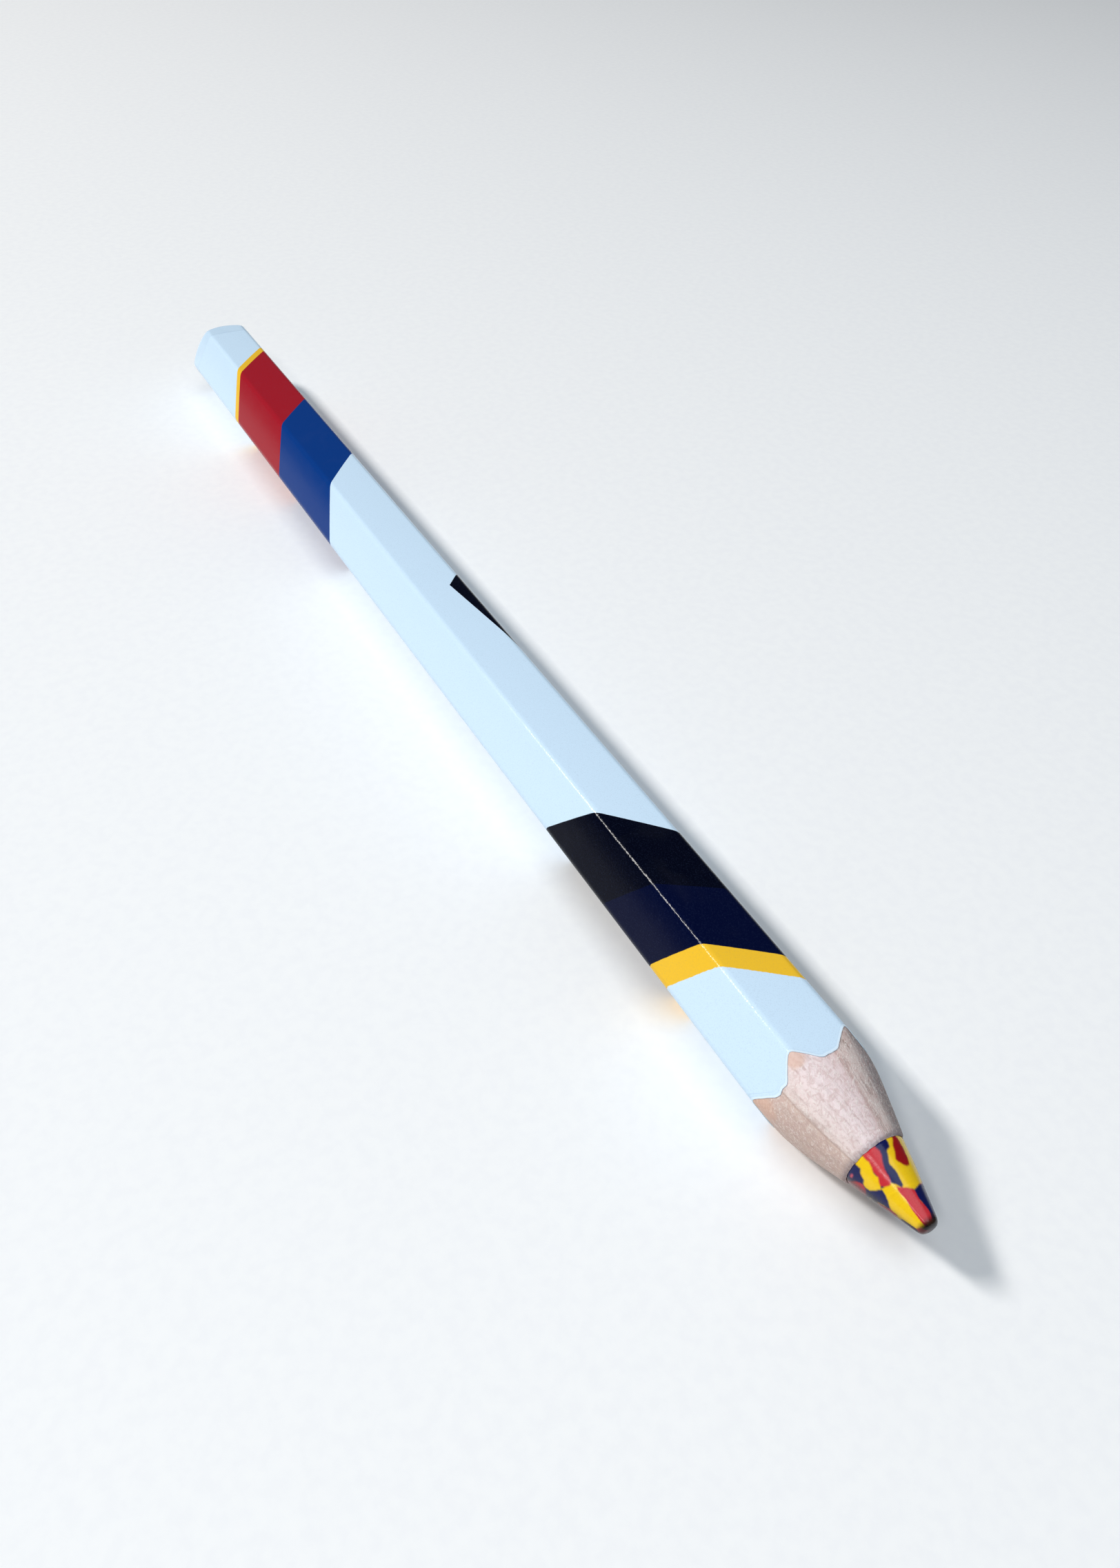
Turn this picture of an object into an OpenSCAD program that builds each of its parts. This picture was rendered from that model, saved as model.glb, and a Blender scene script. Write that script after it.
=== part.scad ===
// Jumbo hexagonal colouring pencil, whole and sharpened, lying on one flat.
// It lies along X with its point toward +X. The origin is under its middle,
// on the surface it rests on. Sizes are in millimetres.

/* [Barrel] */
// Length over everything, from the rounded end to the tip
length = 170; // [110:1:180]
// Width across the flats of the finished barrel
across_flats = 10; // [8:0.1:12]
// Radius along the six long edges
edge_round = 0.8; // [0.4:0.1:1.2]
// Thickness of the printed film round the wood
film_wall = 0.12; // [0.08:0.01:0.25]

/* [Core] */
// Diameter of the coloured core
core_d = 5.6; // [4:0.1:6.5]
// Radial gap between the core and its groove, none because it is glued in
core_gap = 0; // [0:0.01:0.1]

/* [Sharpened point] */
// Length of the wood's cone, from its peaks on the long edges to the core
wood_cone = 9; // [6:0.1:14]
// Length of the bare core ahead of the wood
core_cone = 6.6; // [4:0.1:9]
// Diameter of the blunt tip
tip_d = 1.8; // [0.8:0.1:2]
// Bevel round the blunt tip
tip_bevel = 0.2; // [0.1:0.05:0.3]

/* [Dipped end] */
// Radius of the dome
dome_r = 6.8; // [6.6:0.1:12]
// Thickness of the lacquer over the dome
dip_wall = 0.3; // [0.2:0.05:0.6]
// Length of the lacquered end along the barrel
dip_len = 5; // [4:0.5:12]

/* [Slats] */
// Slope of the glued seam between the two slats, 30 for the middles of two flats
seam_tilt = 30; // [0:1:60]

/* [Hidden] */
$fn = 96;
flats = 6;
flat_step = 360 / flats;
half_flat_angle = flat_step / 2;
round_step = flat_step / 6;
half_flats = across_flats / 2;
edge_reach = (half_flats - edge_round) / cos(half_flat_angle);
corner_r = edge_reach + edge_round;
core_r = core_d / 2;
groove_r = core_r + core_gap;
tip_r = tip_d / 2;
tip_x = length / 2;
end_x = -length / 2;
core_face_x = tip_x - core_cone;
peak_x = core_face_x - wood_cone;
wood_slope = (corner_r - core_r) / wood_cone;
dome_x = end_x + dome_r;
dip_x = end_x + dip_len;
// Room that a cutting solid keeps outside the pencil
margin = 2;
clear_r = dome_r + margin;

// Hexagon with rounded corners, flats square to the first axis, set in from the barrel's outside
module section(inset) {
    polygon([
        for (corner = [half_flat_angle : flat_step : 360])
            for (turn = [-half_flat_angle : round_step : half_flat_angle])
                edge_reach * [cos(corner), sin(corner)]
                    + (edge_round - inset) * [cos(corner + turn), sin(corner + turn)]
    ]);
}

// Straight barrel between two points on the X axis
module barrel(inset, from_x, to_x) {
    translate([from_x, 0, half_flats])
        rotate([0, 90, 0])
            linear_extrude(to_x - from_x)
                section(inset);
}

// Round bar on the pencil's axis
module rod(r, from_x, to_x) {
    translate([from_x, 0, half_flats])
        rotate([0, 90, 0])
            cylinder(r = r, h = to_x - from_x);
}

// Turned outline of the pencil: dome at the back, sharpened cone at the front
module turned(inset) {
    translate([0, 0, half_flats])
        rotate([0, 90, 0])
            rotate_extrude() {
                intersection() {
                    translate([0, dome_x])
                        circle(r = dome_r - inset);
                    translate([0, end_x - margin])
                        square([clear_r, dome_r + margin]);
                }
                polygon([
                    [0, dome_x],
                    [clear_r, dome_x],
                    [clear_r, peak_x - (clear_r - corner_r) / wood_slope],
                    [core_r, core_face_x],
                    [tip_r, tip_x - tip_bevel],
                    [tip_r - tip_bevel, tip_x],
                    [0, tip_x]
                ]);
            }
}

// Glued-up wood, before it is parted into slats
module wood() {
    difference() {
        intersection() {
            barrel(film_wall, end_x - margin, tip_x + margin);
            turned(dip_wall);
        }
        rod(groove_r, end_x - margin, tip_x + margin);
    }
}

// Half of space on one side of the glued seam: 1 above it, -1 below
module seam_side(side) {
    translate([0, 0, half_flats])
        rotate([-seam_tilt, 0, 0])
            translate([0, 0, side * across_flats / 2])
                cube([length + 2 * margin, 2 * across_flats, across_flats], center = true);
}

module core() {
    color("SteelBlue")
        intersection() {
            rod(core_r, end_x - margin, tip_x + margin);
            turned(dip_wall);
        }
}

module upper_slat() {
    color("BurlyWood")
        intersection() {
            wood();
            seam_side(1);
        }
}

module lower_slat() {
    color("Tan")
        intersection() {
            wood();
            seam_side(-1);
        }
}

// Printed film, cut to scallops where the cone runs out through it
module barrel_film() {
    color("White")
        intersection() {
            difference() {
                barrel(0, dip_x, tip_x + margin);
                barrel(film_wall, dip_x - margin, tip_x + 2 * margin);
            }
            turned(0);
        }
}

// White lacquer over the domed end, level with the film
module end_dip() {
    color("GhostWhite")
        difference() {
            intersection() {
                barrel(0, end_x - margin, dip_x);
                turned(0);
            }
            intersection() {
                barrel(film_wall, end_x - 2 * margin, dip_x + margin);
                turned(dip_wall);
            }
        }
}

core();
upper_slat();
lower_slat();
barrel_film();
end_dip();
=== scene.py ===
"""Looks of a jumbo hexagonal colouring pencil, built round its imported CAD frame.

The pencil lies along X with its point toward +X. Lengths in the classes below are in
millimetres, and places along the pencil are counted from the plane of the wood's peaks,
where the sharpened cone starts on the six long edges. An azimuth is in degrees about the
pencil's axis, from straight up toward +Y.
"""

import logging
import math
from collections.abc import Callable, Iterable, Sequence
from dataclasses import dataclass, field
from enum import Enum

import bmesh
import bpy
from mathutils import Matrix, Vector, noise


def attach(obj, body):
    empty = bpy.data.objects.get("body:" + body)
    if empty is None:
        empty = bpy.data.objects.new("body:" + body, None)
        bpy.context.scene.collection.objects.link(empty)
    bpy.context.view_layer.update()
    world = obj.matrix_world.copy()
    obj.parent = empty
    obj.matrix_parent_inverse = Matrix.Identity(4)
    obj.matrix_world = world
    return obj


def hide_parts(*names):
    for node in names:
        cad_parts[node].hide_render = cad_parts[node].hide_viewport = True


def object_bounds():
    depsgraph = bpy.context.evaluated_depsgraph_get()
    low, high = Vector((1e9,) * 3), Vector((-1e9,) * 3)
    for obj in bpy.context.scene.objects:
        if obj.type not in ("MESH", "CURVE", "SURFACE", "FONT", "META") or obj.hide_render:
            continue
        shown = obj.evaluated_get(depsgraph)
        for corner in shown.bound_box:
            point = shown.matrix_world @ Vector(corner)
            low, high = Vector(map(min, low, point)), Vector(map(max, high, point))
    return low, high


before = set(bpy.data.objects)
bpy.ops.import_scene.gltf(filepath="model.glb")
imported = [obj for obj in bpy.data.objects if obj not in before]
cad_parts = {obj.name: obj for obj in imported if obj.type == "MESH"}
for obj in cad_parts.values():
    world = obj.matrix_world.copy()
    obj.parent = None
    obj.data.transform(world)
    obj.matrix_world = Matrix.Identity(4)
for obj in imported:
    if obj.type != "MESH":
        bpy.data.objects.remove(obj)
CAD_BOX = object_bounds()

logging.basicConfig(level=logging.INFO, format="%(message)s")
log = logging.getLogger("pencil")

MM = 0.001
TO_MM = 1 / MM
FLAT_STEP = 60.0
HALF_STEP = FLAT_STEP / 2
ROOT = "root"
PIGMENT = "pigment"
RIM = "rim"
STATION = "station"
MERGE = 0.0004 * MM

Colour = tuple[float, float, float, float]
Point = tuple[float, float]
Socket = bpy.types.NodeSocket
Material = bpy.types.Material
Piece = bpy.types.Object
Shape = bmesh.types.BMesh
Value = Socket | float | Colour | Vector | tuple[float, float, float]


def paint(red: int, green: int, blue: int) -> Colour:
    """Turns a screen colour of 0 to 255 into Blender's linear colour.

    Args:
        red: Red, 0 to 255.
        green: Green, 0 to 255.
        blue: Blue, 0 to 255.

    Returns:
        The linear colour, with full alpha.
    """
    def linear(level: int) -> float:
        """Gives one channel's linear level."""
        share = level / 255
        return share / 12.92 if share <= 0.04045 else ((share + 0.055) / 1.055) ** 2.4

    return linear(red), linear(green), linear(blue), 1.0


def ease(value: float, low: float, high: float) -> float:
    """Goes smoothly from 0 at low to 1 at high."""
    share = min(max((value - low) / (high - low), 0.0), 1.0)
    return share * share * (3 - 2 * share)


def bell(value: float, middle: float, width: float) -> float:
    """Gives a bump of height 1 at middle that fades over width."""
    return math.exp(-(((value - middle) / width) ** 2))


def chain(value: float, points: Sequence[tuple[float, float]]) -> float:
    """Reads a value off a line of points.

    Args:
        value: Where to read.
        points: Pairs of place and height, in rising order of place.

    Returns:
        The height there, level beyond both ends.
    """
    if value <= points[0][0]:
        return points[0][1]
    for (low, start), (high, end) in zip(points, points[1:]):
        if value <= high:
            return start + (end - start) * (value - low) / (high - low)
    return points[-1][1]


def rough(x: float, y: float, z: float, seed: float = 0.0) -> float:
    """Gives a smooth random height of about -1 to 1 at a point."""
    return noise.noise(Vector((x + seed, y - seed, z + 2 * seed)))


def rough_round(azimuth: float, waves: float, depth: float, seed: float) -> float:
    """Gives a smooth random height that closes on itself round the pencil.

    Args:
        azimuth: Where round the pencil.
        waves: How fine it is; larger is finer.
        depth: Place in the third direction, such as along the pencil.
        seed: Which pattern it is.

    Returns:
        A height of about -1 to 1.
    """
    turn = math.radians(azimuth)
    return rough(waves * math.cos(turn), waves * math.sin(turn), depth, seed)


def off_flat(azimuth: float) -> float:
    """Gives the angle in degrees from the middle of the nearest flat."""
    return abs((azimuth + HALF_STEP) % FLAT_STEP - HALF_STEP)


# ---- Node trees ----


class Sketch:
    """A node tree that is being written: adds nodes and joins their sockets."""

    def __init__(self, tree: bpy.types.NodeTree) -> None:
        """Keeps the tree to write in."""
        self.tree = tree

    def add(self, kind: str, **settings: object) -> bpy.types.Node:
        """Adds a node, named without the ShaderNode in front, and sets its properties."""
        prefix = "" if kind.startswith("NodeGroup") else "ShaderNode"
        node = self.tree.nodes.new(prefix + kind)
        for name, value in settings.items():
            setattr(node, name, value)
        return node

    def feed(self, socket: Socket, value: Value) -> None:
        """Links a socket to another, or sets its own value."""
        if isinstance(value, bpy.types.NodeSocket):
            self.tree.links.new(value, socket)
        else:
            socket.default_value = value

    def wire(self, node: bpy.types.Node, values: Iterable[Value], result: str | int = 0) -> Socket:
        """Feeds a node's first inputs in order and returns one of its outputs."""
        for socket, value in zip(node.inputs, values):
            self.feed(socket, value)
        return node.outputs[result]

    def label(self, node: bpy.types.Node, values: dict[str, Value]) -> bpy.types.NodeOutputs:
        """Feeds a node's inputs by their names and returns its outputs."""
        for name, value in values.items():
            self.feed(node.inputs[name], value)
        return node.outputs

    def math(self, operation: str, *values: Value) -> Socket:
        """Adds a Math node and returns its result."""
        return self.wire(self.add("Math", operation=operation), values)

    def times(self, first: Value, second: Value) -> Socket:
        """Multiplies two numbers."""
        return self.math("MULTIPLY", first, second)

    def plus(self, first: Value, share: Value, rest: Value) -> Socket:
        """Multiplies two numbers and adds a third."""
        return self.math("MULTIPLY_ADD", first, share, rest)

    def apart(self, first: Value, second: Value) -> Socket:
        """Gives how far apart two numbers are."""
        return self.math("ABSOLUTE", self.math("SUBTRACT", first, second))

    def vector(self, operation: str, *values: Value, result: str = "Vector") -> Socket:
        """Adds a Vector Math node and returns the named result."""
        return self.wire(self.add("VectorMath", operation=operation), values, result)

    def mix(self, factor: Value, first: Value, second: Value, blend: str = "MIX") -> Socket:
        """Mixes two colours by the share of the second."""
        node = self.add("Mix", data_type="RGBA", blend_type=blend)
        self.feed(node.inputs["Factor"], factor)
        self.feed(node.inputs[6], first)
        self.feed(node.inputs[7], second)
        return node.outputs[2]

    def span(
        self, value: Value, low: Value, high: Value, start: float = 0.0, end: float = 1.0
    ) -> Socket:
        """Maps a value's span from low to high smoothly onto start to end."""
        node = self.add("MapRange", interpolation_type="SMOOTHSTEP")
        return self.wire(node, (value, low, high, start, end))

    def noise(self, place: Value, scale: Value, detail: float = 2.0, twist: float = 0.0) -> Socket:
        """Adds a Noise Texture and returns its height of 0 to 1."""
        values = {"Vector": place, "Scale": scale, "Detail": detail, "Distortion": twist}
        return self.label(self.add("TexNoise"), values)[0]

    def wobble(self, place: Value, scale: Value, detail: float, twist: float = 0.0) -> Socket:
        """Adds noise of -0.5 to 0.5."""
        return self.math("SUBTRACT", self.noise(place, scale, detail, twist), 0.5)

    def plane(self, first: Value, second: Value) -> Socket:
        """Makes a place out of two coordinates."""
        return self.wire(self.add("CombineXYZ"), (first, second))

    def bump(self, strength: Value, distance: float, height: Socket) -> Socket:
        """Gives the normal of a relief, whose full height is a distance in millimetres."""
        values = {"Strength": strength, "Distance": distance * MM, "Height": height}
        return self.label(self.add("Bump"), values)[0]

    def painted(self, layer: str) -> Socket:
        """Reads the colour painted on the mesh's vertices."""
        return self.add("Attribute", attribute_name=layer).outputs["Color"]

    def ramp(self, factor: Value, stops: Sequence[tuple[float, Colour]]) -> Socket:
        """Reads a colour off a row of stops, which are pairs of place and colour in order."""
        node = self.add("ValToRGB")
        ramp = node.color_ramp
        ramp.elements[0].position, ramp.elements[0].color = stops[0]
        ramp.elements[1].position, ramp.elements[1].color = stops[-1]
        for place, colour in stops[1:-1]:
            ramp.elements.new(place).color = colour
        return self.wire(node, (factor,))


class SocketKind(Enum):
    """Kinds of socket that a shared effect has."""

    VECTOR = "NodeSocketVector"
    NUMBER = "NodeSocketFloat"


VECTOR_NAMES = {"Place", "Direction", "Normal"}
AXES = ("Along", "Azimuth")


def effect(
    name: str,
    inputs: Sequence[str],
    outputs: Sequence[str],
) -> tuple[Sketch, dict[str, Socket], dict[str, Socket]]:
    """Starts a node group for an effect.

    Args:
        name: The group's name.
        inputs: Input names, whose kinds go by VECTOR_NAMES.
        outputs: Output names, in the same way.

    Returns:
        The sketch to write it with, its inputs and its outputs, by name.
    """
    tree = bpy.data.node_groups.new(name, "ShaderNodeTree")
    for in_out, labels in (("INPUT", inputs), ("OUTPUT", outputs)):
        for label in labels:
            kind = SocketKind.VECTOR if label in VECTOR_NAMES else SocketKind.NUMBER
            tree.interface.new_socket(label, in_out=in_out, socket_type=kind.value)
    sketch = Sketch(tree)
    entry = sketch.add("NodeGroupInput")
    leave = sketch.add("NodeGroupOutput")
    return (
        sketch,
        {label: entry.outputs[label] for label in inputs},
        {label: leave.inputs[label] for label in outputs},
    )


class SharedEffects:
    """The node groups that the pencil's materials share, each built once."""

    def __init__(self) -> None:
        """Builds every group."""
        self.straight_edge = self._straight_edge()
        self.polar = self._polar()
        self.gloss_skin = self._gloss_skin()
        self.handling = self._handling()

    @staticmethod
    def _straight_edge() -> bpy.types.NodeTree:
        """Makes a mask of 0 behind a plane and 1 ahead of it, with a slightly ragged line."""
        names = ("Place", "Direction", "Offset", "Softness", "Raggedness")
        sketch, take, give = effect("straight_edge", names, ("Mask",))
        reach = sketch.vector("DOT_PRODUCT", take["Place"], take["Direction"], result="Value")
        ragged = sketch.wobble(take["Place"], 2.6, 4.0)
        past = sketch.math("SUBTRACT", reach, take["Offset"])
        ahead = sketch.plus(ragged, take["Raggedness"], past)
        low = sketch.times(take["Softness"], -1.0)
        sketch.feed(give["Mask"], sketch.span(ahead, low, take["Softness"]))
        return sketch.tree

    @staticmethod
    def _polar() -> bpy.types.NodeTree:
        """Makes the places along and round, 0 to 1 from straight down through -Y and up."""
        sketch, take, give = effect("polar", ("Place",), AXES)
        parts = sketch.add("SeparateXYZ")
        sketch.feed(parts.inputs[0], take["Place"])
        along, across, height = parts.outputs
        turn = sketch.math("ARCTAN2", across, height)
        sketch.feed(give["Along"], along)
        sketch.feed(give["Azimuth"], sketch.plus(turn, 1 / math.tau, 0.5))
        return sketch.tree

    @staticmethod
    def _gloss_skin() -> bpy.types.NodeTree:
        """Makes a glossy coat's faint unevenness, and a mask of fine specks in the print."""
        sketch, take, give = effect("gloss_skin", ("Place", "Unevenness"), ("Normal", "Specks"))
        stretched = sketch.vector("MULTIPLY", take["Place"], (0.35, 1.0, 1.0))
        waves = sketch.noise(stretched, 0.9, 1.0)
        peel = sketch.noise(take["Place"], 4.2, 2.0)
        height = sketch.plus(peel, 0.5, sketch.times(waves, 0.5))
        sketch.feed(give["Normal"], sketch.bump(take["Unevenness"], 0.05, height))
        grit = sketch.noise(take["Place"], 9.0, 3.0)
        sketch.feed(give["Specks"], sketch.span(grit, 0.5, 0.72))
        return sketch.tree

    @staticmethod
    def _handling() -> bpy.types.NodeTree:
        """Makes a mask of the smudges and dust that handling leaves."""
        sketch, take, give = effect("handling", ("Place", "Amount"), ("Marks",))
        smudge = sketch.span(sketch.noise(take["Place"], 0.28, 3.0, 0.6), 0.48, 0.78)
        dust = sketch.span(sketch.noise(take["Place"], 6.5, 2.0), 0.7, 0.78)
        marks = sketch.math("MAXIMUM", sketch.times(smudge, 0.6), dust)
        sketch.feed(give["Marks"], sketch.times(marks, take["Amount"]))
        return sketch.tree


class Surface:
    """A material being written, with its shader and the pencil's coordinates ready."""

    def __init__(self, name: str, centre: Vector) -> None:
        """Makes the material.

        Args:
            name: The material's name.
            centre: Where the coordinates start, in metres.
        """
        self.material = bpy.data.materials.new(name)
        self.material.use_nodes = True
        self.material.node_tree.nodes.clear()
        self.sketch = Sketch(self.material.node_tree)
        self.shader = self.sketch.add("BsdfPrincipled")
        output = self.sketch.add("OutputMaterial")
        self.sketch.feed(output.inputs["Surface"], self.shader.outputs[0])
        place = self.sketch.add("TexCoord")
        centred = self.sketch.add("Mapping")
        self.sketch.feed(centred.inputs["Vector"], place.outputs["Object"])
        centred.inputs["Scale"].default_value = (TO_MM, TO_MM, TO_MM)
        centred.inputs["Location"].default_value = -centre * TO_MM
        self.place = centred.outputs[0]

    def set(self, **values: Value) -> Material:
        """Sets or links the shader's sockets, named with underscores for spaces."""
        for name, value in values.items():
            self.sketch.feed(self.shader.inputs[name.replace("_", " ")], value)
        return self.material

    def shared(self, tree: bpy.types.NodeTree, **values: Value) -> bpy.types.NodeOutputs:
        """Places a shared effect at the pencil's coordinates and gives its outputs."""
        node = self.sketch.add("Group", node_tree=tree)
        return self.sketch.label(node, {"Place": self.place, **values})


# ---- Finishes ----


@dataclass(frozen=True)
class Slant:
    """A straight printed edge that runs slanting round the barrel.

    Attributes:
        place: Where its middle crosses the axis.
        rise: How far it climbs along the pencil from its middle, at the long edges' radius.
        lean: Azimuth at which it crosses its middle.
        colour: The print ahead of it.
        raggedness: How uneven the print's edge is.
    """

    place: float
    rise: float
    lean: float
    colour: Colour
    raggedness: float = 0.05

    def direction(self, radius: float) -> tuple[float, float, float]:
        """Gives the direction square to the edge's plane, from the long edges' radius."""
        lean = math.radians(self.lean)
        pitch = self.rise / radius
        return 1.0, -pitch * math.cos(lean), pitch * math.sin(lean)


WHITE = paint(209, 232, 251)
YELLOW = paint(243, 193, 50)
NAVY = paint(2, 8, 42)
BLACK = paint(2, 4, 20)
RED = paint(164, 24, 38)
BLUE = paint(5, 56, 130)


@dataclass(frozen=True)
class PrintedFilm:
    """The glossy printed film: slanted bands of colour on white, with a painted highlight along its
    front lip and painted shade in the creases behind it.
    """

    effects: SharedEffects
    centre: Vector
    corner_radius: float
    back: Colour = WHITE
    bands: tuple[Slant, ...] = (
        Slant(-137.0, -6.6, -25, YELLOW),
        Slant(-135.6, -6.6, -25, RED),
        Slant(-118.3, -6.5, -22, BLUE),
        Slant(-99.8, -7.2, -25, WHITE),
        Slant(-29.5, 6.05, -18, BLACK),
        Slant(-20.4, 4.15, -30, NAVY),
        Slant(-11.4, 4.53, -15, YELLOW, 0.08),
        Slant(-8.6, 4.53, -15, WHITE, 0.22),
    )
    wedge_tip: tuple[float, float] = (-71.4, 1.08)
    wedge_back: float = -1.03
    wedge_front: float = 7.41
    wedge_foot: float = 3.5
    # The rim colour is a painted highlight along the lip; the crease colour is painted shade in the
    # creases behind it.
    lip_highlight_colour: Colour = paint(232, 245, 252)
    crease_shade_colour: Colour = paint(150, 168, 186)
    speck_colour: Colour = paint(64, 76, 112)
    dust_colour: Colour = paint(150, 150, 148)
    unevenness: float = 0.13
    edge_unevenness: float = 0.8
    roughness: float = 0.14
    gleam: float = 0.11
    front_gleam: float = 0.04
    dust: float = 0.012
    speck_share: float = 0.1
    crease_shade_share: float = 0.14
    lip_highlight_share: float = 0.5
    softness: float = 0.045

    def make(self) -> Material:
        """Writes the material."""
        surface = Surface("printed_film", self.centre)
        sketch = surface.sketch
        polar = surface.shared(self.effects.polar)
        sixth = sketch.math("FRACT", sketch.times(polar["Azimuth"], 360 / FLAT_STEP))
        rumple = sketch.span(
            sketch.apart(sixth, 0.5), 0.08, 0.05, self.unevenness, self.edge_unevenness
        )
        skin = surface.shared(self.effects.gloss_skin, Unevenness=rumple)
        colour: Value = self.back
        for band in self.bands:
            edge = surface.shared(
                self.effects.straight_edge,
                Direction=band.direction(self.corner_radius),
                Offset=band.place,
                Softness=self.softness,
                Raggedness=band.raggedness,
            )
            colour = sketch.mix(edge["Mask"], colour, band.colour)
        colour = sketch.mix(self._wedge(surface), colour, BLACK)
        marks = surface.shared(self.effects.handling, Amount=self.dust)["Marks"]
        colour = sketch.mix(marks, colour, self.dust_colour)
        speckled = sketch.mix(self.speck_share, colour, self.speck_colour)
        colour = sketch.mix(skin["Specks"], colour, speckled)
        # The rim layer holds a painted highlight along the lip and painted shade in the creases
        # behind it.
        rim = sketch.add("SeparateColor")
        sketch.feed(rim.inputs[0], sketch.painted(RIM))
        pale, crease = rim.outputs[0], rim.outputs[1]
        colour = sketch.mix(sketch.times(crease, self.crease_shade_share), colour, self.crease_shade_colour)
        colour = sketch.mix(sketch.times(pale, self.lip_highlight_share), colour, self.lip_highlight_colour)
        return surface.set(
            Base_Color=colour,
            Roughness=sketch.plus(marks, 2.0, self.roughness),
            Normal=skin["Normal"],
            Specular_IOR_Level=sketch.span(
                polar["Along"], -4.5, -1.5, self.gleam, self.front_gleam
            ),
        )

    def _wedge(self, surface: Surface) -> Socket:
        """Makes the mask of the plain dark wedge beside the far upper edge."""
        along, across = self.wedge_tip
        sides = (
            ((1.0, -self.wedge_back, 0.0), along - self.wedge_back * across),
            ((-1.0, self.wedge_front, 0.0), self.wedge_front * across - along),
            ((0.0, 1.0, 0.0), across - 0.05),
            ((0.0, 0.0, 1.0), self.wedge_foot),
        )
        mask: Value = 1.0
        for direction, offset in sides:
            side = surface.shared(
                self.effects.straight_edge,
                Direction=direction,
                Offset=offset,
                Softness=0.05,
                Raggedness=0.03,
            )
            mask = surface.sketch.times(mask, side["Mask"])
        return mask


@dataclass(frozen=True)
class DippedLacquer:
    """White lacquer, thick and glossy, a little uneven where it drained."""

    effects: SharedEffects
    centre: Vector
    colour: Colour = WHITE
    thick_colour: Colour = paint(204, 228, 248)
    dust_colour: Colour = paint(170, 172, 172)
    unevenness: float = 0.25
    roughness: float = 0.12
    gleam: float = 0.35
    dust: float = 0.08

    def make(self) -> Material:
        """Writes the material."""
        surface = Surface("dipped_lacquer", self.centre)
        sketch = surface.sketch
        skin = surface.shared(self.effects.gloss_skin, Unevenness=self.unevenness)
        marks = surface.shared(self.effects.handling, Amount=self.dust)["Marks"]
        pooled = sketch.span(sketch.noise(surface.place, 0.35, 1.0), 0.35, 0.7)
        colour = sketch.mix(pooled, self.colour, self.thick_colour)
        return surface.set(
            Base_Color=sketch.mix(marks, colour, self.dust_colour),
            Roughness=sketch.plus(marks, 1.5, self.roughness),
            Normal=skin["Normal"],
            Specular_IOR_Level=self.gleam,
        )


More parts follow.
